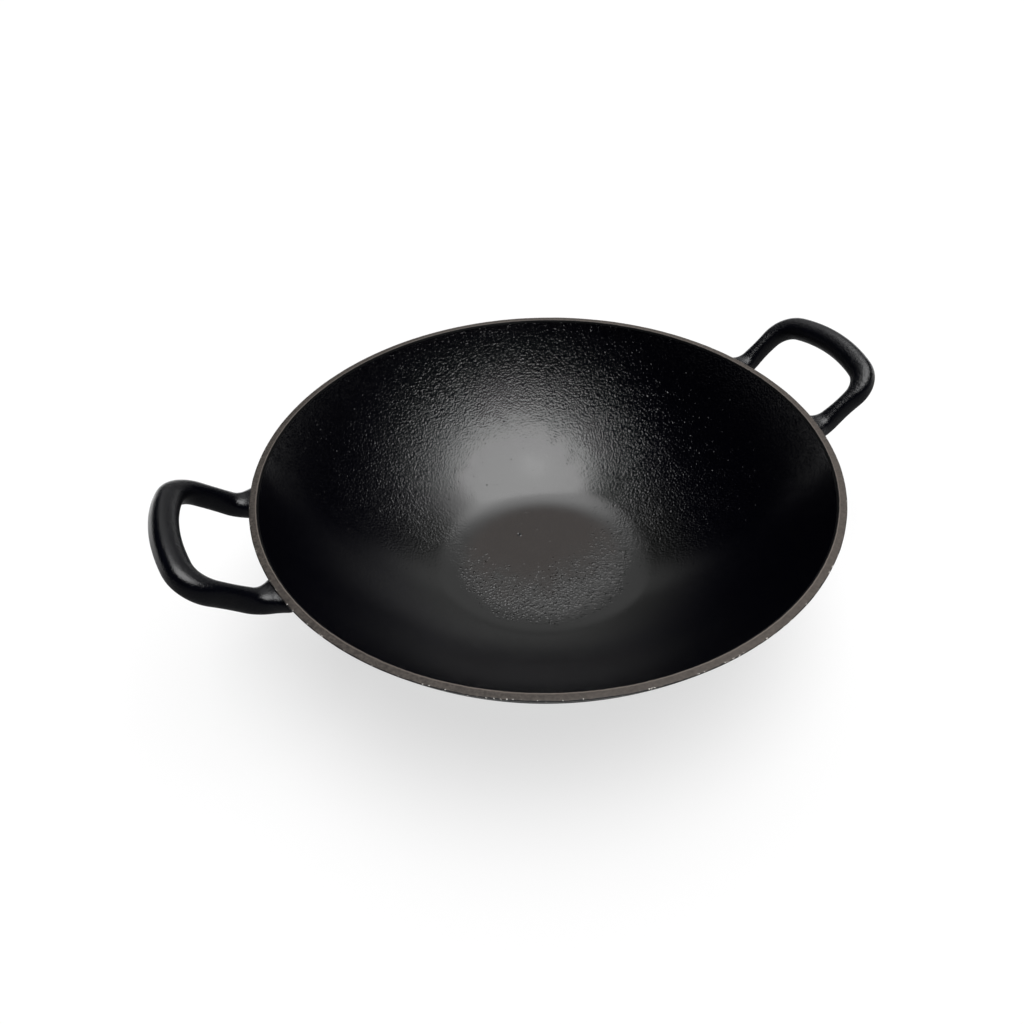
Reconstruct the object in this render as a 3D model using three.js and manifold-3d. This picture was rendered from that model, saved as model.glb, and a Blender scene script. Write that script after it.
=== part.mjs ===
// A cast-iron wok: a round-walled bowl on a flat base, with a ground rim and two loop handles that slant up.
// Millimetres, +Z up. The origin is the centre of the flat underside, and the handles lie along X.

import * as THREE from "three";
import { mergeVertices } from "three/addons/utils/BufferGeometryUtils.js";
import Module from "manifold-3d";

const wasm = await Module();
wasm.setup();

// Bowl
const rimRadius = 150; // outer edge of the rim
const bowlHeight = 83; // underside to the rim's top face
const footRadius = 47; // flat underside
const wallThickness = 3.6;
const baseThickness = 5;
const rimBandHeight = 3; // bare band at the top of the wall
const rimOuterRound = 1; // rounding of the rim's outer edge
const rimInnerRound = 0.5; // rounding of the rim's inner edge

// Loop handles: a flat loop of iron, bent up at an elbow beside the wall
const legSpacing = 71; // between the centrelines of a handle's two legs
const legDrop = 12; // leg centreline below the rim's top face, where it leaves the wall
const elbowInset = 6.7; // the elbow starts this far inside the rim's outer edge
const elbowRadius = 8.5;
const handleTilt = THREE.MathUtils.degToRad(40.5); // slope of the loop above level
const loopReach = 50.5; // along the loop, from the elbow's start to the middle of the grip
const loopCorner = 15; // corner radius of the loop's centreline
const gripBow = 7.5; // how far the grip bows out between the corners
const legWidth = 7.2;
const legDepth = 12.4;
const gripWidth = 12.4;
const gripDepth = 11.2;
const squareness = 2.6; // 2 gives an oval bar, and larger numbers a squarer one
const filletAbove = 9; // fillet where the top of a leg runs into the wall
const filletBelow = 3.5; // the same under the leg
const rootDepth = 10; // how far a leg runs on inside the wall before it is cut to sit on it
const seamGap = 0.3; // between a handle's root and the wall

// Fineness of the surfaces
const turnSegments = 72;
const wallSteps = 10;
const edgeSteps = 3;
const loopSteps = 36;
const rootSteps = 10;
const sectionSides = 18;

// The wall's outer and inner faces are spheres round one centre on the axis. The outer one passes through the
// edge of the foot and the outer edge of the rim.
const sphereHeight = (rimRadius ** 2 + bowlHeight ** 2 - footRadius ** 2) / (2 * bowlHeight);
const outerSphere = Math.hypot(footRadius, sphereHeight);
const innerSphere = outerSphere - wallThickness;
const sphereCentre = new THREE.Vector3(0, 0, sphereHeight);
const bandBottom = bowlHeight - rimBandHeight;

// Finishes
const satinFloor = { color: 0x1a1918, roughness: 0.5, metalness: 0 };
const satinWall = { color: 0x0c0c0d, roughness: 0.42, metalness: 0 };
const groundIron = { color: 0x5d5650, roughness: 0.6, metalness: 0.35 };
const glossEnamel = { color: 0x0a0a0b, roughness: 0.22, metalness: 0 };

// Profile points are (distance from the axis, height).
function sphereRadiusAt(sphere, height) {
  return Math.sqrt(sphere ** 2 - (sphereHeight - height) ** 2);
}

function spherePoint(sphere, height) {
  return new THREE.Vector2(sphereRadiusAt(sphere, height), height);
}

// Points along a sphere's outline between two heights, evenly spaced in angle.
function sphereArc(sphere, fromHeight, toHeight, steps) {
  const from = Math.acos((sphereHeight - fromHeight) / sphere);
  const to = Math.acos((sphereHeight - toHeight) / sphere);
  const points = [];
  for (let i = 0; i <= steps; i++) {
    const angle = THREE.MathUtils.lerp(from, to, i / steps);
    points.push(new THREE.Vector2(sphere * Math.sin(angle), sphereHeight - sphere * Math.cos(angle)));
  }
  return points;
}

// A rounded corner between two straight stretches, cut back by the same length on both.
function roundedCorner(before, corner, after, length) {
  const start = corner.clone().add(before.clone().sub(corner).setLength(length));
  const end = corner.clone().add(after.clone().sub(corner).setLength(length));
  return new THREE.QuadraticBezierCurve(start, corner, end).getPoints(edgeSteps);
}

function revolve(profile) {
  return new THREE.LatheGeometry(profile, turnSegments).rotateX(Math.PI / 2);
}

// The flat base: a disc whose edge follows the outer sphere. Its outer zone carries the wall.
function baseGeometry() {
  return revolve([
    new THREE.Vector2(0, 0),
    ...sphereArc(outerSphere, 0, baseThickness, edgeSteps),
    new THREE.Vector2(0, baseThickness),
  ]);
}

// The wall: a spherical shell with flat seats for the base below and the rim band above.
function wallGeometry() {
  const outer = sphereArc(outerSphere, baseThickness, bandBottom, wallSteps);
  const inner = sphereArc(innerSphere, bandBottom, baseThickness, wallSteps);
  return revolve([...outer, ...inner, outer[0].clone()]);
}

// The ground rim: the top of the wall, cut level and rounded at both edges.
function rimGeometry() {
  const outerFoot = spherePoint(outerSphere, bandBottom);
  const outerTop = spherePoint(outerSphere, bowlHeight);
  const innerTop = spherePoint(innerSphere, bowlHeight);
  const innerFoot = spherePoint(innerSphere, bandBottom);
  return revolve([
    outerFoot,
    ...roundedCorner(outerFoot, outerTop, innerTop, rimOuterRound),
    ...roundedCorner(outerTop, innerTop, innerFoot, rimInnerRound),
    innerFoot,
    outerFoot.clone(),
  ]);
}

// The loop's centreline before it is bent: a leg, a corner, the bowed grip, a corner and the other leg.
// Its points are (distance outward from the elbow's start, distance along the rim).
function flatLoop() {
  const halfWidth = legSpacing / 2;
  const gripRadius = (halfWidth ** 2 + gripBow ** 2) / (2 * gripBow);
  const gripCentre = loopReach - gripRadius;
  const cornerSide = halfWidth - loopCorner;
  const cornerOut = gripCentre + Math.sqrt((gripRadius - loopCorner) ** 2 - cornerSide ** 2);
  const meetAngle = Math.atan2(cornerSide, cornerOut - gripCentre);
  const wallOut = Math.sqrt(sphereRadiusAt(outerSphere, bowlHeight - legDrop) ** 2 - halfWidth ** 2);
  const rootOut = wallOut - rootDepth - (rimRadius - elbowInset);

  const loop = new THREE.Path();
  loop.moveTo(rootOut, -halfWidth);
  loop.lineTo(cornerOut, -halfWidth);
  loop.absarc(cornerOut, -cornerSide, loopCorner, -Math.PI / 2, -meetAngle);
  loop.absarc(gripCentre, 0, gripRadius, -meetAngle, meetAngle);
  loop.absarc(cornerOut, cornerSide, loopCorner, meetAngle, Math.PI / 2);
  loop.lineTo(rootOut, halfWidth);
  return loop;
}

// Where a point of the flat loop lies once the loop is bent: level out of the wall, up round the elbow,
// then straight on.
function bend(out, along) {
  const turned = THREE.MathUtils.clamp(out / elbowRadius, 0, handleTilt);
  const straight = out - turned * elbowRadius;
  const point = new THREE.Vector3(
    rimRadius - elbowInset + elbowRadius * Math.sin(turned) + straight * Math.cos(turned),
    along,
    bowlHeight - legDrop + elbowRadius * (1 - Math.cos(turned)) + straight * Math.sin(turned),
  );
  const outward = new THREE.Vector3(Math.cos(turned), 0, Math.sin(turned));
  const upward = new THREE.Vector3(-Math.sin(turned), 0, Math.cos(turned));
  return { point, outward, upward };
}

// How far a fillet stands out from the leg at a given distance from the wall.
function filletAt(radius, distance) {
  const rest = radius - THREE.MathUtils.clamp(distance, 0, radius);
  return radius - Math.sqrt(radius ** 2 - rest ** 2);
}

// One ring of points round the bar: a squared oval that widens from leg to grip, and flares at the wall into
// a fillet that ends under the rim's edge.
function barSection(loop, share) {
  const flat = loop.getPoint(share);
  const heading = loop.getTangent(share);
  const { point, outward, upward } = bend(flat.x, flat.y);
  const sideways = outward.clone().multiplyScalar(heading.y).add(new THREE.Vector3(0, -heading.x, 0));
  const grip = THREE.MathUtils.smoothstep(flat.x / loopReach, 0.45, 0.95);
  const halfWidth = THREE.MathUtils.lerp(legWidth, gripWidth, grip) / 2;
  const halfDepth = THREE.MathUtils.lerp(legDepth, gripDepth, grip) / 2;
  const power = 2 / squareness;

  const ring = [];
  for (let i = 0; i < sectionSides; i++) {
    const angle = (2 * Math.PI * i) / sectionSides;
    const across = Math.sign(Math.cos(angle)) * Math.abs(Math.cos(angle)) ** power * halfWidth;
    const up = Math.sign(Math.sin(angle)) * Math.abs(Math.sin(angle)) ** power * halfDepth;
    const offset = sideways.clone().multiplyScalar(across).addScaledVector(upward, up);
    const plain = point.clone().add(offset);
    const fillet = THREE.MathUtils.lerp(filletBelow, filletAbove, (1 + Math.sin(angle)) / 2);
    const stand = filletAt(fillet, plain.distanceTo(sphereCentre) - outerSphere);
    const corner = plain.clone().addScaledVector(offset.normalize(), stand);
    corner.z = Math.min(corner.z, Math.max(plain.z, bowlHeight - rimOuterRound));
    ring.push(corner);
  }
  return ring;
}

// Shares of the loop's length at which sections stand: close together at the roots, evenly spaced between.
function sectionShares(loop) {
  const rootShare = (rootDepth + filletAbove) / loop.getLength();
  const shares = [];
  for (let i = 0; i < rootSteps; i++) {
    shares.push((rootShare * i) / rootSteps);
  }
  for (let i = 0; i <= loopSteps; i++) {
    shares.push(THREE.MathUtils.lerp(rootShare, 1 - rootShare, i / loopSteps));
  }
  for (let i = rootSteps - 1; i >= 0; i--) {
    shares.push(1 - (rootShare * i) / rootSteps);
  }
  return shares;
}

// A closed skin over a row of rings with the same number of points.
function skin(rings) {
  const sides = rings[0].length;
  const corners = rings.flat();
  const faces = [];
  for (let r = 0; r + 1 < rings.length; r++) {
    for (let i = 0; i < sides; i++) {
      const a = r * sides + i;
      const b = r * sides + ((i + 1) % sides);
      faces.push(a, a + sides, b, b, a + sides, b + sides);
    }
  }
  const last = (rings.length - 1) * sides;
  for (let i = 1; i + 1 < sides; i++) {
    faces.push(0, i, i + 1, last, last + i + 1, last + i);
  }
  return new THREE.BufferGeometry().setFromPoints(corners).setIndex(faces);
}

function solidOf(geometry) {
  const bare = geometry.clone();
  bare.deleteAttribute("normal");
  bare.deleteAttribute("uv");
  const merged = mergeVertices(bare, 1e-4);
  return new wasm.Manifold(
    new wasm.Mesh({
      numProp: 3,
      vertProperties: merged.attributes.position.array,
      triVerts: new Uint32Array(merged.index.array),
    }),
  );
}

function geometryOf(solid) {
  const mesh = solid.getMesh();
  const geometry = new THREE.BufferGeometry();
  geometry.setAttribute("position", new THREE.BufferAttribute(mesh.vertProperties, mesh.numProp));
  geometry.setIndex(new THREE.BufferAttribute(mesh.triVerts, 1));
  geometry.computeVertexNormals();
  return geometry;
}

// Everything inside the bowl's outer face, and above its mouth, swollen by the seam gap.
function bowlEnvelope() {
  const sphere = outerSphere + seamGap;
  const rim = spherePoint(sphere, bowlHeight);
  const overHandles = bowlHeight + loopReach + gripDepth;
  return revolve([
    new THREE.Vector2(0, 0),
    ...sphereArc(sphere, 0, baseThickness, edgeSteps),
    ...sphereArc(sphere, baseThickness, bandBottom, wallSteps).slice(1),
    rim,
    new THREE.Vector2(rim.x, overHandles),
    new THREE.Vector2(0, overHandles),
  ]);
}

// A loop handle at the +X side, its roots cut to sit on the wall.
function handleGeometry() {
  const loop = flatLoop();
  const rings = sectionShares(loop).map((share) => barSection(loop, share));
  return geometryOf(solidOf(skin(rings)).subtract(solidOf(bowlEnvelope())));
}

function piece(name, geometry, finish) {
  const mesh = new THREE.Mesh(geometry, new THREE.MeshStandardMaterial(finish));
  mesh.name = name;
  return mesh;
}

const wok = new THREE.Group();
wok.add(piece("base_disc", baseGeometry(), satinFloor));
wok.add(piece("bowl_wall", wallGeometry(), satinWall));
wok.add(piece("rim_band", rimGeometry(), groundIron));

const loopHandle = handleGeometry();
for (const [name, turn] of [["right_handle", 0], ["left_handle", Math.PI]]) {
  const handle = piece(name, loopHandle, glossEnamel);
  handle.rotation.z = turn;
  wok.add(handle);
}

export default wok;
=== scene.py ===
import math
import bmesh
import bpy
from mathutils import Matrix, Vector, noise


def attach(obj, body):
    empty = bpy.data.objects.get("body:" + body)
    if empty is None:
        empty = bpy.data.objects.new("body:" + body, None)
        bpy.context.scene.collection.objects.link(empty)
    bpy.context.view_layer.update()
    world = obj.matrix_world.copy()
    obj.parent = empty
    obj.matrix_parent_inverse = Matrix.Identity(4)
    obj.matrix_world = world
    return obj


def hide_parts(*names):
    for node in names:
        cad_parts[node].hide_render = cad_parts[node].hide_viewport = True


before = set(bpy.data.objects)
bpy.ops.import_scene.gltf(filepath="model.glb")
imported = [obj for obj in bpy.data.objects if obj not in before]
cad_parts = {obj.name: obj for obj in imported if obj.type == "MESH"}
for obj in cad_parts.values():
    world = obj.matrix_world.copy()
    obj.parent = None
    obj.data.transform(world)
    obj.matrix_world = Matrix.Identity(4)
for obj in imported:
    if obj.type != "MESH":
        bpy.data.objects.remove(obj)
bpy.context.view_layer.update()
print("frame loaded with", len(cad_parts), "nodes")


# camera: at the photograph's place, 32 cm above the table and a little left of the front
cameraSettings = {
    "spot": (-0.126735, -0.280454, 0.321946),
    "aim": (0.00118, 0.05115, 0.0),  # where the middle of the picture meets the table
    "roll": -2.678,  # degrees
    "focalPixels": 743.52,
    "imagePixels": 1024,
}


def addCamera(settings):
    data = bpy.data.cameras.new("photoCamera")
    data.sensor_fit = "AUTO"
    data.sensor_width = 36.0
    data.lens = settings["focalPixels"] / settings["imagePixels"] * data.sensor_width
    data.clip_start = 0.01
    data.clip_end = 100.0
    camera = bpy.data.objects.new("photoCamera", data)
    bpy.context.scene.collection.objects.link(camera)
    spot = Vector(settings["spot"])
    look = (Vector(settings["aim"]) - spot).to_track_quat("-Z", "Y")
    turn = Matrix.Rotation(math.radians(settings["roll"]), 4, "Z")
    camera.matrix_world = Matrix.Translation(spot) @ look.to_matrix().to_4x4() @ turn
    bpy.context.scene.camera = camera


addCamera(cameraSettings)
print("camera set")


# small helpers for node materials
def startMaterial(name):
    material = bpy.data.materials.new(name)
    material.use_nodes = True
    tree = material.node_tree
    return material, tree, tree.nodes["Principled BSDF"]


def setInput(tree, socket, value):
    if isinstance(value, bpy.types.NodeSocket):
        tree.links.new(value, socket)
    else:
        socket.default_value = value


def addNode(tree, kind, inputs=None, **settings):
    node = tree.nodes.new(kind)
    for key, value in settings.items():
        setattr(node, key, value)
    for key, value in (inputs or {}).items():
        setInput(tree, node.inputs[key], value)
    return node


def calc(tree, operation, first, second=0.0, clamp=False):
    inputs = {0: first, 1: second}
    return addNode(tree, "ShaderNodeMath", inputs, operation=operation, use_clamp=clamp).outputs[0]


def product(tree, first, *others):
    for other in others:
        first = calc(tree, "MULTIPLY", first, other)
    return first


def vectorCalc(tree, operation, first, second=(0, 0, 0)):
    node = addNode(tree, "ShaderNodeVectorMath", {0: first, 1: second}, operation=operation)
    single = operation in ("DOT_PRODUCT", "DISTANCE", "LENGTH")
    return node.outputs["Value" if single else "Vector"]


def fade(tree, value, limits, toFirst=0.0, toLast=1.0):
    # soft step: toFirst at the first limit, toLast at the second, whichever is larger
    inputs = {"Value": value, "From Min": limits[0], "From Max": limits[1]}
    inputs.update({"To Min": toFirst, "To Max": toLast})
    return addNode(tree, "ShaderNodeMapRange", inputs, interpolation_type="SMOOTHSTEP").outputs["Result"]


def noiseField(tree, place, scale, detail=2.0, roughness=0.5):
    inputs = {"Vector": place, "Scale": scale, "Detail": detail, "Roughness": roughness}
    return addNode(tree, "ShaderNodeTexNoise", inputs).outputs["Fac"]


def sway(tree, field, amount=1.0):
    # noise from 0 to 1, made to sway evenly about zero
    return product(tree, calc(tree, "SUBTRACT", field, 0.5), amount)


def mixValue(tree, factor, first, second):
    return addNode(tree, "ShaderNodeMix", {0: factor, 2: first, 3: second}).outputs[0]


def mixColour(tree, factor, first, second):
    return addNode(tree, "ShaderNodeMix", {0: factor, 6: first, 7: second}, data_type="RGBA").outputs[2]


def shaded(colour, share):
    return tuple(c * share for c in colour[:3]) + (1.0,)


def addBump(tree, shader, height, distance):
    bump = addNode(tree, "ShaderNodeBump", {"Strength": 1.0, "Distance": distance, "Height": height})
    tree.links.new(bump.outputs[0], shader.inputs["Normal"])
    return bump.outputs[0]


def flattened(tree, place):
    return vectorCalc(tree, "MULTIPLY", place, (1, 1, 0))


# black satin enamel of the inside: cast grain on the far wall, a smooth spot below it,
# and a grainy patch on the worn floor
satinSettings = {
    "wallColour": (0.0004, 0.0004, 0.0013, 1.0),
    # painted glow: the lower wall near the floor made lighter, standing in for bounced light
    "paintedGlowColour": (0.0010, 0.0012, 0.0010, 1.0),
    "floorColour": (0.0115, 0.0075, 0.0058, 1.0),  # thin brown wear on the floor
    "grainyColour": (0.0080, 0.0080, 0.0076, 1.0),
    "floorFade": (0.0530, 0.0400),  # radii between which the wear sets in
    "hazeFade": (0.0950, 0.0600),
    "cloudScale": 60.0,
    "cloudShade": 0.85,  # the wear is this much darker in patches
    "roughness": 0.17,
    "smoothRoughness": 0.18,
    "speckScale": 150.0,
    "speckRoughness": 0.08,
    "refraction": 1.5,
    "grainScale": 640.0,  # about 1.6 mm from bump to bump
    "grainHeight": 0.00020,
    "warpScale": 512.0,
    "warp": 0.0016,  # makes the bumps uneven
    "bumpReach": 0.55,  # how far a bump spreads in its cell
    "bumpSizes": (0.5, 1.6),
    "bumpOnset": (-0.015, 0.015),
    "sandScale": 880.0,  # the sand's waves, about 2 mm long
    "sand": 1.9,
    "floorSand": 1.2,
    "wallBumps": 0.15,  # share of the wall's sand that stands out as bumps
    "wallBumpHeight": 0.6,
    "floorBumpHeight": 1.4,
    "grainEdge": (0.0520, 0.0480),  # radii between which the wall's grain turns into the floor's
    "edgeWander": 0.4,
    "smoothSpot": (0.008, 0.040, 0.0),  # where the casting came out smooth
    "smoothOnWall": (0.030, 0.081),
    "smoothOnFloor": (0.040, 0.074),
    "wanderScale": 90.0,
    "wander": 0.06,  # how far the borders of the smooth spots wander
    "strays": 0.004,  # single bumps left in the smooth spots
    "farSide": (0.412, 0.911, 0.0),  # the wall on the other side is smooth as well
    "grainFrom": (-0.026, 0.030),
    "pitAt": (-0.0046, 0.0251, 0.0050),  # one small casting pit in the floor
    "pitReach": (0.0018, 0.00063),
    "pitSlant": (506.0, -229.0, 0.0),  # the pit's floor slants up this way
    "pitDepth": 3.2,
}


def makeSatinEnamel(s):
    material, tree, shader = startMaterial("satinEnamel")
    place = addNode(tree, "ShaderNodeTexCoord").outputs["Object"]
    level = flattened(tree, place)
    radius = vectorCalc(tree, "LENGTH", level)
    wander = sway(tree, noiseField(tree, place, s["wanderScale"], 6.0, 0.72), s["wander"])
    onFloor = fade(tree, radius, s["floorFade"])
    edge = calc(tree, "ADD", radius, product(tree, wander, s["edgeWander"]))
    inFloor = fade(tree, edge, s["grainEdge"])

    # the pit: a small slanting dent
    pit = fade(tree, vectorCalc(tree, "DISTANCE", place, s["pitAt"]), s["pitReach"])
    slant = vectorCalc(tree, "DOT_PRODUCT", vectorCalc(tree, "SUBTRACT", place, s["pitAt"]), s["pitSlant"])
    dent = product(tree, pit, slant, s["pitDepth"])

    # where the grain is: thinning out in the smooth spots
    apart = calc(tree, "ADD", vectorCalc(tree, "DISTANCE", level, s["smoothSpot"]), wander)
    away = calc(tree, "ADD", vectorCalc(tree, "DOT_PRODUCT", level, s["farSide"]), wander)
    wallGrain = product(tree, fade(tree, apart, s["smoothOnWall"]), fade(tree, away, s["grainFrom"]))
    floorGrain = fade(tree, apart, s["smoothOnFloor"])
    kept = mixValue(tree, inFloor, wallGrain, floorGrain)

    # scattered bumps, each in a cell of its own
    shove = addNode(tree, "ShaderNodeTexNoise", {"Vector": place, "Scale": s["warpScale"], "Detail": 2.0})
    shove = vectorCalc(tree, "MULTIPLY", shove.outputs["Color"], (s["warp"],) * 3)
    shoved = vectorCalc(tree, "ADD", place, shove)
    cells = addNode(tree, "ShaderNodeTexVoronoi", {"Vector": shoved, "Scale": s["grainScale"]})
    lots = addNode(tree, "ShaderNodeSeparateXYZ", {0: cells.outputs["Color"]})
    crowd = mixValue(tree, inFloor, product(tree, wallGrain, s["wallBumps"]), floorGrain)
    chance = calc(tree, "SUBTRACT", calc(tree, "MAXIMUM", crowd, s["strays"]), lots.outputs[0])
    peaks = fade(tree, cells.outputs["Distance"], (s["bumpReach"], 0.0))
    peaks = product(tree, peaks, fade(tree, chance, s["bumpOnset"]))
    size = fade(tree, lots.outputs[1], (0.0, 1.0), *s["bumpSizes"])
    size = product(tree, size, fade(tree, inFloor, (0.0, 1.0), s["wallBumpHeight"], s["floorBumpHeight"]))
    peaks = product(tree, peaks, size)

    # fine sand under the bumps
    sand = sway(tree, noiseField(tree, place, s["sandScale"], 1.0, 0.5))
    sand = product(tree, sand, kept, fade(tree, inFloor, (0.0, 1.0), s["sand"], s["floorSand"]))
    addBump(tree, shader, calc(tree, "ADD", calc(tree, "ADD", peaks, sand), dent), s["grainHeight"])

    # colour: black wall, a painted glow of bounced light low on it, the worn floor
    tone = mixColour(tree, fade(tree, radius, s["hazeFade"]), s["wallColour"], s["paintedGlowColour"])
    cloud = noiseField(tree, place, s["cloudScale"], 3.0, 0.6)
    floorTone = mixColour(tree, cloud, shaded(s["floorColour"], s["cloudShade"]), s["floorColour"])
    floorTone = mixColour(tree, floorGrain, floorTone, s["grainyColour"])
    tone = mixColour(tree, onFloor, tone, floorTone)
    tone = mixColour(tree, pit, tone, s["wallColour"])
    tree.links.new(tone, shader.inputs["Base Color"])
    spread = fade(tree, kept, (0.0, 1.0), s["smoothRoughness"], s["roughness"])
    speck = sway(tree, noiseField(tree, place, s["speckScale"]), s["speckRoughness"])
    tree.links.new(calc(tree, "ADD", spread, speck), shader.inputs["Roughness"])
    shader.inputs["IOR"].default_value = s["refraction"]
    return material


# glossier black of the outside and the handles: grainy legs, grips that hands have smoothed
glossSettings = {
    "colour": (0.0008, 0.0009, 0.0017, 1.0),
    "paleShare": 2.0,  # the black is this much paler in patches
    "roughness": 0.17,
    "sideRoughness": 0.55,  # sides and undersides are duller
    "sideFade": (0.1, 0.6),  # how far a face looks up, from side to top
    "patchScale": 120.0,
    "patchRoughness": (-0.04, 0.05),
    "shine": 0.06,
    "coat": 0.60,  # glossy coat on the faces that look up
    "coatFade": (0.45, 0.80),
    "coatRoughness": 0.14,
    "grainScale": 900.0,
    "grainHeight": 0.00034,
    "waveScale": 70.0,
    "waveShare": 0.49,  # slow waves under the grain
    "gripFrom": (0.181, 0.191),  # distance from the middle where the legs' grain ends
    "gripWander": 0.02,
    "gripShare": 0.10,
    "leftShare": 0.56,  # the left handle came out smoother
    "leftFade": (-0.1, 0.1),
}


def makeGlossEnamel(s):
    material, tree, shader = startMaterial("glossEnamel")
    where = addNode(tree, "ShaderNodeTexCoord")
    place = where.outputs["Object"]
    across = addNode(tree, "ShaderNodeSeparateXYZ", {0: place}).outputs[0]
    upward = addNode(tree, "ShaderNodeSeparateXYZ", {0: where.outputs["Normal"]}).outputs[2]

    # grain on the legs, almost none on the grips
    grain = sway(tree, noiseField(tree, place, s["grainScale"], 3.0, 0.65))
    wave = noiseField(tree, place, s["waveScale"], 2.0, 0.5)
    out = calc(tree, "ADD", calc(tree, "ABSOLUTE", across), sway(tree, wave, s["gripWander"]))
    kept = fade(tree, out, s["gripFrom"], 1.0, s["gripShare"])
    kept = product(tree, kept, fade(tree, across, s["leftFade"], s["leftShare"], 1.0))
    height = calc(tree, "ADD", product(tree, grain, kept), product(tree, wave, s["waveShare"]))
    bump = addBump(tree, shader, height, s["grainHeight"])

    # dull sides, and a coat on top
    tone = mixColour(tree, wave, s["colour"], shaded(s["colour"], s["paleShare"]))
    tree.links.new(tone, shader.inputs["Base Color"])
    patches = fade(tree, noiseField(tree, place, s["patchScale"]), (0.3, 0.7), *s["patchRoughness"])
    spread = fade(tree, upward, s["sideFade"], s["sideRoughness"], s["roughness"])
    tree.links.new(calc(tree, "ADD", patches, spread), shader.inputs["Roughness"])
    tree.links.new(fade(tree, upward, s["coatFade"], 0.0, s["coat"]), shader.inputs["Coat Weight"])
    tree.links.new(bump, shader.inputs["Coat Normal"])
    shader.inputs["Coat Roughness"].default_value = s["coatRoughness"]
    shader.inputs["Specular IOR Level"].default_value = s["shine"]
    return material


# bare ground iron of the rim, with the black enamel left on its two edges
ironSettings = {
    "colour": (0.066, 0.056, 0.049, 1.0),
    "darkShare": 0.35,  # darkest and lightest speckle
    "lightShare": 1.65,
    "enamelColour": (0.0025, 0.0025, 0.0027, 1.0),
    "roughness": 0.52,
    "enamelRoughness": 0.42,
    "metal": 0.25,
    "shine": 0.2,
    "bareFrom": 0.14605,  # radii between which the iron is bare
    "bareTo": 0.14955,
    "softEdge": 0.0002,
    "raggedScale": 260.0,
    "raggedInside": 0.0006,
    "raggedOutside": 0.0014,
    "paintedHighlightBand": (0.0007, 0.0003),  # the painted highlight along the inner edge, measured from where the iron is bare
    "paintedHighlightShare": 0.8,  # share of the painted highlight's colour in it
    "paintedHighlightLightness": 2.0,  # and how much lighter that painted highlight is
    "chipAndGlintColour": (0.50, 0.48, 0.45, 1.0),  # chips along the outer edge, painted much lighter than the iron as glints
    "chipAndGlintScale": 640.0,
    "chipAndGlintOnset": (0.62, 0.68),
    "chipAndGlintFrom": (0.1490, 0.1494),
    "mottleScale": 850.0,
    "mottleHeight": 0.00005,
    "mottleRange": (-0.2, 0.2),
    "speckleSide": (-0.03, -0.13),  # the left side is more speckled
    "plainShare": 0.28,
    "paintedShadeSide": (-0.13, 0.10),  # and painted darker, as shade falling on that side
    "paintedShadeShare": 0.45,
}


def makeGroundIron(s):
    material, tree, shader = startMaterial("groundIron")
    place = addNode(tree, "ShaderNodeTexCoord").outputs["Object"]
    radius = vectorCalc(tree, "LENGTH", flattened(tree, place))
    across = addNode(tree, "ShaderNodeSeparateXYZ", {0: place}).outputs[0]
    ragged = sway(tree, noiseField(tree, place, s["raggedScale"], 4.0, 0.65))
    inside = calc(tree, "ADD", radius, product(tree, ragged, s["raggedInside"]))
    outside = calc(tree, "ADD", radius, product(tree, ragged, s["raggedOutside"]))
    bareInside = fade(tree, inside, (s["bareFrom"], s["bareFrom"] + s["softEdge"]))
    bareOutside = fade(tree, outside, (s["bareTo"], s["bareTo"] - s["softEdge"]))
    bare = product(tree, bareInside, bareOutside)

    # speckle of the grinding, a painted highlight along the inner edge, chips outside painted bright as
    # glints
    mottle = noiseField(tree, place, s["mottleScale"], 2.0, 0.7)
    speckled = fade(tree, across, s["speckleSide"], s["plainShare"], 1.0)
    speckleAndPaintedShade = fade(tree, product(tree, sway(tree, mottle), speckled), s["mottleRange"])
    # painted shade: the left side of the rim darkened
    speckleAndPaintedShade = product(tree, speckleAndPaintedShade, fade(tree, across, s["paintedShadeSide"], s["paintedShadeShare"], 1.0))
    tone = mixColour(tree, speckleAndPaintedShade, shaded(s["colour"], s["darkShare"]), shaded(s["colour"], s["lightShare"]))
    paintedHighlightBand = [s["bareFrom"] + width for width in s["paintedHighlightBand"]]
    # painted highlight: the inner edge made lighter in colour
    edge = fade(tree, inside, paintedHighlightBand, 0.0, s["paintedHighlightShare"])
    tone = mixColour(tree, edge, tone, shaded(s["colour"], s["paintedHighlightLightness"]))
    tone = mixColour(tree, bare, s["enamelColour"], tone)
    # chips on the outer rounding, painted bright as glints
    chipAndGlint = fade(tree, noiseField(tree, place, s["chipAndGlintScale"], 2.0, 0.6), s["chipAndGlintOnset"])
    chipAndGlint = product(tree, chipAndGlint, fade(tree, radius, s["chipAndGlintFrom"]))
    tree.links.new(mixColour(tree, chipAndGlint, tone, s["chipAndGlintColour"]), shader.inputs["Base Color"])
    tree.links.new(product(tree, bare, s["metal"]), shader.inputs["Metallic"])
    spread = mixValue(tree, bare, s["enamelRoughness"], s["roughness"])
    tree.links.new(spread, shader.inputs["Roughness"])
    addBump(tree, shader, mottle, s["mottleHeight"])
    shader.inputs["Specular IOR Level"].default_value = s["shine"]
    return material


satinEnamel = makeSatinEnamel(satinSettings)
glossEnamel = makeGlossEnamel(glossSettings)
groundIron = makeGroundIron(ironSettings)
print("materials made")


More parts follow.
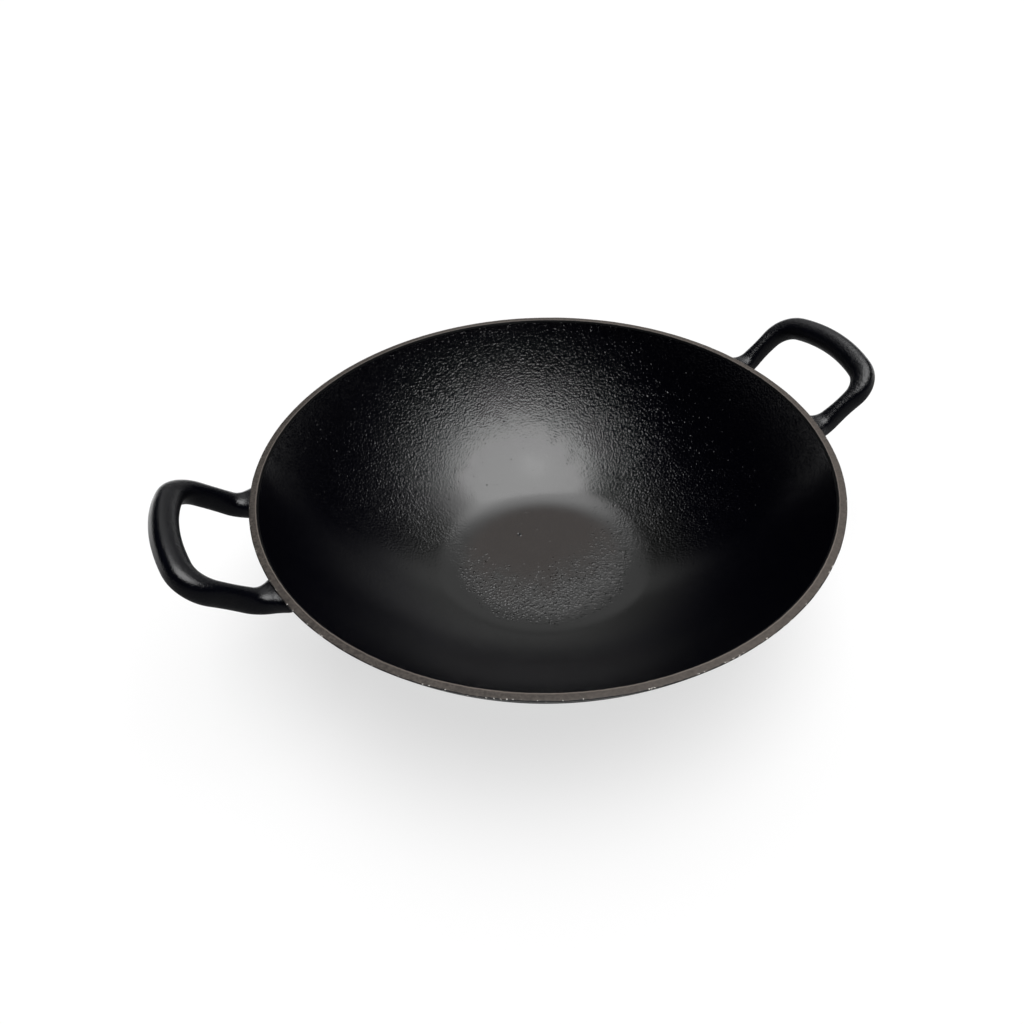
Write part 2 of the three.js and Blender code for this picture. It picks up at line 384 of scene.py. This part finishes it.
# the bowl: two spheres round one centre, a flat floor and a flat foot
bowlSettings = {
    "rimRadius": 0.150,
    "height": 0.083,
    "footRadius": 0.047,
    "wall": 0.0036,
    "floor": 0.005,
    "bareRim": 0.0012,  # height of the bare edge on top
    "floorBlend": 0.013,
    "footBlend": 0.003,
    "turns": 256,
    "wallSteps": 60,
    "blendSteps": 8,
    "floorRings": (0, 0.25, 0.5, 0.75, 0.9),  # shares of the flat floor's radius
    "footRings": (0.85, 0.6, 0.3, 0),
}
cornerAngle = 0.6  # radians; sharper edges stay crisp
rimRadius, bowlHeight, footRadius = (bowlSettings[k] for k in ("rimRadius", "height", "footRadius"))
sphereHeight = (rimRadius**2 + bowlHeight**2 - footRadius**2) / (2 * bowlHeight)
outerSphere = math.hypot(footRadius, sphereHeight)
innerSphere = outerSphere - bowlSettings["wall"]
sphereCentre = Vector((0, 0, sphereHeight))


def radiusAt(sphere, height):
    return math.sqrt(sphere**2 - (sphereHeight - height) ** 2)


def sphereArc(sphere, fromHeight, toHeight, steps):
    first = math.acos((sphereHeight - fromHeight) / sphere)
    last = math.acos((sphereHeight - toHeight) / sphere)
    angles = [first + (last - first) * i / steps for i in range(steps + 1)]
    return [(sphere * math.sin(a), sphereHeight - sphere * math.cos(a)) for a in angles]


def softCorner(before, corner, after, steps):
    points = []
    for i in range(steps + 1):
        t = i / steps
        weights = ((1 - t) ** 2, 2 * t * (1 - t), t * t)
        pulls = list(zip(weights, (before, corner, after)))
        points.append(tuple(sum(w * p[k] for w, p in pulls) for k in (0, 1)))
    return points


def finishMesh(mesh):
    bmesh.ops.recalc_face_normals(mesh, faces=mesh.faces)
    for edge in mesh.edges:
        edge.smooth = edge.calc_face_angle(0.0) < cornerAngle


def makePiece(name, mesh, materials):
    data = bpy.data.meshes.new(name)
    mesh.to_mesh(data)
    mesh.free()
    for material in materials:
        data.materials.append(material)
    piece = bpy.data.objects.new(name, data)
    bpy.context.scene.collection.objects.link(piece)
    return piece


def turnMesh(name, profile, turns, slots, materials, closed=False):
    # profile points are (radius, height); slots gives each stretch its material
    mesh = bmesh.new()
    rings = []
    for radius, height in profile:
        if radius < 1e-7:
            rings.append([mesh.verts.new((0, 0, height))])  # a point on the axis
            continue
        ring = []
        for i in range(turns):
            a = 2 * math.pi * i / turns
            ring.append(mesh.verts.new((radius * math.cos(a), radius * math.sin(a), height)))
        rings.append(ring)
    if closed:
        rings.append(rings[0])
    for lower, upper, slotIndex in zip(rings, rings[1:], slots):
        for i in range(turns):
            j = (i + 1) % turns
            places = ((lower, i), (lower, j), (upper, j), (upper, i))
            corners = [ring[k % len(ring)] for ring, k in places]
            face = mesh.faces.new(list(dict.fromkeys(corners)))
            face.material_index = slotIndex
            face.smooth = True
    finishMesh(mesh)
    return makePiece(name, mesh, materials)


def makeBowl(settings):
    floor, top = settings["floor"], bowlHeight - settings["bareRim"]
    floorEdge = radiusAt(innerSphere, floor)
    blend, footBlend = settings["floorBlend"], settings["footBlend"]
    flatRadius = floorEdge - blend
    wallStart = floor + blend * math.sin(math.atan2(floorEdge, sphereHeight - floor))
    wallFoot = (radiusAt(innerSphere, wallStart), wallStart)
    inner = [(flatRadius * f, floor) for f in settings["floorRings"]]
    inner += softCorner((flatRadius, floor), (floorEdge, floor), wallFoot, settings["blendSteps"])
    inner += sphereArc(innerSphere, wallStart, top, settings["wallSteps"])[1:]
    footStart = footBlend * math.sin(math.atan2(footRadius, sphereHeight))
    outer = sphereArc(outerSphere, top, footStart, settings["wallSteps"])
    outer += softCorner(outer[-1], (footRadius, 0), (footRadius - footBlend, 0), settings["blendSteps"])[1:]
    outer += [(footRadius * f, 0) for f in settings["footRings"]]
    slots = [0] * len(inner) + [1] * (len(outer) - 1)
    return turnMesh("bowlShell", inner + outer, settings["turns"], slots, [satinEnamel, glossEnamel])


bowlShell = makeBowl(bowlSettings)
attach(bowlShell, "root")
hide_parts("bowl_wall", "base_disc")
print("bowl made:", len(bowlShell.data.vertices), "points")


# the bare rim: ground flat on top, rounded outside, slightly uneven inside
rimSettings = {
    "outerRound": 0.0009,
    "innerRound": 0.0003,
    "outerSteps": 8,
    "innerSteps": 6,
    "turns": 384,
    "unevenness": 0.00012,
    "slowSway": 9.0,
    "quickSway": 31.0,
    "quickShare": 0.6,
    "heldFoot": 0.05,  # share of the height that stays true to the bowl
}


def makeRim(settings):
    foot = bowlHeight - bowlSettings["bareRim"]
    outerTop, innerTop = (rimRadius, bowlHeight), (radiusAt(innerSphere, bowlHeight), bowlHeight)
    outerFoot, innerFoot = (radiusAt(outerSphere, foot), foot), (radiusAt(innerSphere, foot), foot)

    def along(start, end, length):
        share = length / math.dist(start, end)
        return tuple(a + (b - a) * share for a, b in zip(start, end))

    def rounded(before, corner, after, size, steps):
        return softCorner(along(corner, before, size), corner, along(corner, after, size), steps)

    profile = [outerFoot]
    profile += rounded(outerFoot, outerTop, innerTop, settings["outerRound"], settings["outerSteps"])
    profile.append(along(outerTop, innerTop, 0.5 * (rimRadius - innerTop[0])))
    profile += rounded(outerTop, innerTop, innerFoot, settings["innerRound"], settings["innerSteps"])
    profile.append(innerFoot)
    rim = turnMesh("groundRim", profile, settings["turns"], [0] * len(profile), [groundIron], closed=True)
    for vertex in rim.data.vertices:
        rise = (vertex.co.z - foot) / bowlSettings["bareRim"]
        if rise < settings["heldFoot"]:
            continue
        outward = Vector((vertex.co.x, vertex.co.y, 0)).normalized()
        slow = noise.noise(outward * settings["slowSway"])
        quick = settings["quickShare"] * noise.noise(outward * settings["quickSway"])
        vertex.co += outward * (slow + quick) * settings["unevenness"] * rise
    return rim


groundRim = makeRim(rimSettings)
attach(groundRim, "root")
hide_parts("rim_band")
print("rim made:", len(groundRim.data.vertices), "points")


# loop handles: a flat loop of bar, bent up beside the wall, with fillets at its roots
handleSettings = {
    "legSpacing": 0.071,
    "legDrop": 0.0065,
    "elbowInset": 0.00228,
    "elbowRadius": 0.0140,
    "tilt": math.radians(40.5),
    "reach": 0.04391,
    "corner": 0.015,
    "bow": 0.0075,
    "legWidth": 0.0072,
    "legDepth": 0.0124,
    "gripWidth": 0.0124,
    "gripDepth": 0.0112,
    "gripFrom": (0.33, 0.94),  # shares of the reach between which the leg grows into the grip
    "squareness": 2.4,
    "flareLength": 0.018,  # the roots widen into the wall over this length, by these amounts
    "flareInside": 0.0125,
    "flareOutside": 0.0060,
    "slim": 0.12,  # the roots are thinner by this share, over this length
    "slimLength": 0.020,
    "rootDepth": 0.004,
    "sunk": 0.0015,  # how deep the roots sit in the wall
    "step": 0.0009,
    "sides": 40,
}


def loopPath(s):
    # points and headings of the flat loop: leg, corner, bowed grip, corner, leg
    half = s["legSpacing"] / 2
    gripRadius = (half**2 + s["bow"] ** 2) / (2 * s["bow"])
    gripCentre = s["reach"] - gripRadius
    side = half - s["corner"]
    cornerOut = gripCentre + math.sqrt((gripRadius - s["corner"]) ** 2 - side**2)
    meet = math.atan2(side, cornerOut - gripCentre)
    wallOut = math.sqrt(radiusAt(outerSphere, bowlHeight - s["legDrop"]) ** 2 - half**2)
    root = wallOut - s["rootDepth"] - (rimRadius - s["elbowInset"])
    path = []

    def line(start, end, y, heading):
        count = max(2, round(abs(end - start) / s["step"]))
        for i in range(count):
            path.append((start + (end - start) * i / count, y, heading))

    def arc(x, y, radius, start, end):
        count = max(4, round(radius * abs(end - start) / s["step"]))
        for i in range(count):
            a = start + (end - start) * i / count
            path.append((x + radius * math.cos(a), y + radius * math.sin(a), a + math.pi / 2))

    line(root, cornerOut, -half, 0.0)
    arc(cornerOut, -side, s["corner"], -math.pi / 2, -meet)
    arc(gripCentre, 0.0, gripRadius, -meet, meet)
    arc(cornerOut, side, s["corner"], meet, math.pi / 2)
    line(cornerOut, root, half, math.pi)
    path.append((root, half, math.pi))
    return path


def limited(value, low, high):
    return min(max(value, low), high)


def smoothShare(value, low, high):
    t = limited((value - low) / (high - low), 0.0, 1.0)
    return t * t * (3 - 2 * t)


def between(first, last, share):
    return first + (last - first) * share


def makeHandle(name, s, turn):
    mesh = bmesh.new()
    rings = []
    rotation = Matrix.Rotation(turn, 4, "Z")
    power = 2 / s["squareness"]
    elbow = s["elbowRadius"]
    for out, alongRim, heading in loopPath(s):
        # bend the flat loop up round the elbow
        turned = limited(out / elbow, 0.0, s["tilt"])
        straight = out - turned * elbow
        outward = Vector((math.cos(turned), 0, math.sin(turned)))
        upward = Vector((-math.sin(turned), 0, math.cos(turned)))
        sideways = outward * math.sin(heading) - Vector((0, math.cos(heading), 0))
        middle = Vector((
            rimRadius - s["elbowInset"] + elbow * math.sin(turned) + straight * math.cos(turned),
            alongRim,
            bowlHeight - s["legDrop"] + elbow * (1 - math.cos(turned)) + straight * math.sin(turned),
        ))

        # section: thin at the root, thick at the grip, flared where it meets the wall
        grip = smoothShare(out / s["reach"], *s["gripFrom"])
        wallGap = (middle - sphereCentre).length - outerSphere
        slim = s["slim"] * (1 - smoothShare(wallGap, 0.0, s["slimLength"]))
        widen = (1 - limited(wallGap / s["flareLength"], 0.0, 1.0)) ** 2
        halfWidth = between(s["legWidth"], s["gripWidth"], grip) / 2
        halfDepth = between(s["legDepth"], s["gripDepth"], grip) / 2 * (1 - slim)
        ring = []
        for i in range(s["sides"]):
            a = 2 * math.pi * i / s["sides"]
            reach = halfWidth + widen * (s["flareOutside"] if math.cos(a) > 0 else s["flareInside"])
            across = math.copysign(abs(math.cos(a)) ** power, math.cos(a)) * reach
            up = math.copysign(abs(math.sin(a)) ** power, math.sin(a)) * halfDepth
            point = middle + sideways * across + upward * up
            fromCentre = point - sphereCentre
            if fromCentre.length < outerSphere - s["sunk"]:
                point = sphereCentre + fromCentre.normalized() * (outerSphere - s["sunk"])
            ring.append(mesh.verts.new(rotation @ point))
        rings.append(ring)
    for first, second in zip(rings, rings[1:]):
        for i in range(s["sides"]):
            j = (i + 1) % s["sides"]
            mesh.faces.new((first[i], first[j], second[j], second[i])).smooth = True
    mesh.faces.new(rings[0]).smooth = True
    mesh.faces.new(rings[-1]).smooth = True
    finishMesh(mesh)
    return makePiece(name, mesh, [glossEnamel])


for name, node, turn in (("rightLoop", "right_handle", 0.0), ("leftLoop", "left_handle", math.pi)):
    handle = makeHandle(name, handleSettings, turn)
    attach(handle, "root")
    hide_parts(node)
print("handles made")


# white table, a broad soft light overhead with a small key light in it, a faint glow and a panel behind
studioSettings = {
    "floorSize": 8.0,
    "floorSides": 96,
    "floorColour": (0.71, 0.71, 0.71, 1.0),
    "floorRoughness": 0.9,
    "ownWhite": 0.68,  # share of plain white that the table shows beside its shading
    "softFrom": (0.0785, -0.1133, 0.9905),
    "softStrength": 3.5,
    "softWidth": 50.0,  # degrees across
    "keyFrom": (0.0250, -0.0662, 0.9975),
    "keyStrength": 0.03,
    "keyWidth": 8.0,
    "glow": 0.35,
    "glowPower": 4.0,
    "darkSide": (-0.984, 0.178, 0.0),  # no glow from this side
    "darkFade": (0.45, 0.05),
    "panel": 0.72,
    "panelAt": (0.459, 0.889, 0.0),
    "panelWidth": (0.80, 0.96),
    "panelFoot": (0.18, 0.50),
    "panelEnd": (0.97, 0.90),
    "panelTop": 3.4,  # the panel is wider and brighter near its top
    "topWidth": (0.42, 0.92),
    "topHeight": (0.76, 0.935),
    "wing": 1.7,  # soft light beside the panel
    "wingAt": (0.990, 0.139, 0.0),
    "wingWidth": (0.70, 0.95),
    "wingHeight": (0.68, 0.88),
    "lampEdge": (0.9205, 0.8970),  # panel and wing end where the soft light begins
    "horizon": 1.0,  # white at table height, gone at this height
    "horizonTop": 0.27,
    "horizonPower": 3.0,
}


def makeFloor(settings):
    material, tree, shader = startMaterial("paleTable")
    shader.inputs["Base Color"].default_value = settings["floorColour"]
    shader.inputs["Roughness"].default_value = settings["floorRoughness"]
    shader.inputs["Specular IOR Level"].default_value = 0.0
    ray = addNode(tree, "ShaderNodeLightPath")
    seen = calc(tree, "MAXIMUM", ray.outputs["Is Camera Ray"], ray.outputs["Is Glossy Ray"])
    seen = calc(tree, "MAXIMUM", seen, ray.outputs["Is Transmission Ray"])
    white = addNode(tree, "ShaderNodeEmission", {"Color": (1, 1, 1, 1), "Strength": 1.0})
    blend = addNode(tree, "ShaderNodeMixShader", {0: product(tree, seen, settings["ownWhite"])})
    tree.links.new(shader.outputs[0], blend.inputs[1])
    tree.links.new(white.outputs[0], blend.inputs[2])
    tree.links.new(blend.outputs[0], tree.nodes["Material Output"].inputs["Surface"])
    mesh = bmesh.new()
    sides, size = settings["floorSides"], settings["floorSize"]
    bmesh.ops.create_circle(mesh, cap_ends=True, segments=sides, radius=size)
    floor = makePiece("paleTable", mesh, [material])


def makeLight(name, direction, strength, width):
    data = bpy.data.lights.new(name, "SUN")
    data.energy = strength
    data.angle = math.radians(width)
    light = bpy.data.objects.new(name, data)
    light.rotation_euler = Vector(direction).to_track_quat("Z", "Y").to_euler()
    bpy.context.scene.collection.objects.link(light)


def makeWorld(s):
    world = bpy.data.worlds.new("studio")
    bpy.context.scene.world = world
    world.use_nodes = True
    tree = world.node_tree
    place = addNode(tree, "ShaderNodeTexCoord").outputs["Generated"]
    height = addNode(tree, "ShaderNodeSeparateXYZ", {0: place}).outputs[2]
    level = vectorCalc(tree, "NORMALIZE", flattened(tree, place))

    # the panel behind, its brighter top and the wing beside it
    facing = vectorCalc(tree, "DOT_PRODUCT", level, s["panelAt"])
    panel = fade(tree, facing, s["panelWidth"], 0.0, s["panel"])
    panel = product(tree, panel, fade(tree, height, s["panelFoot"]), fade(tree, height, s["panelEnd"]))
    top = fade(tree, facing, s["topWidth"], 0.0, s["panelTop"])
    top = product(tree, top, fade(tree, height, s["topHeight"]))
    wing = fade(tree, vectorCalc(tree, "DOT_PRODUCT", level, s["wingAt"]), s["wingWidth"], 0.0, s["wing"])
    wing = product(tree, wing, fade(tree, height, s["wingHeight"]))
    belowLamp = fade(tree, vectorCalc(tree, "DOT_PRODUCT", place, s["softFrom"]), s["lampEdge"])
    panel = calc(tree, "ADD", panel, product(tree, calc(tree, "ADD", top, wing), belowLamp))

    # the glow from above and the white at table height
    glow = calc(tree, "POWER", calc(tree, "MAXIMUM", height, 0.0), s["glowPower"])
    dark = vectorCalc(tree, "DOT_PRODUCT", place, s["darkSide"])
    glow = product(tree, glow, fade(tree, dark, s["darkFade"], 0.0, s["glow"]))
    low = calc(tree, "SUBTRACT", 1.0, calc(tree, "DIVIDE", height, s["horizonTop"]), clamp=True)
    low = product(tree, calc(tree, "POWER", low, s["horizonPower"]), s["horizon"])
    bright = calc(tree, "MAXIMUM", low, calc(tree, "ADD", panel, glow))
    tree.links.new(bright, tree.nodes["Background"].inputs["Strength"])
    tree.nodes["Background"].inputs["Color"].default_value = (1, 1, 1, 1)


makeFloor(studioSettings)
for lamp in ("soft", "key"):
    makeLight(lamp + "Light", *(studioSettings[lamp + part] for part in ("From", "Strength", "Width")))
makeWorld(studioSettings)
bpy.context.scene.view_settings.view_transform = "Standard"
print("studio set")
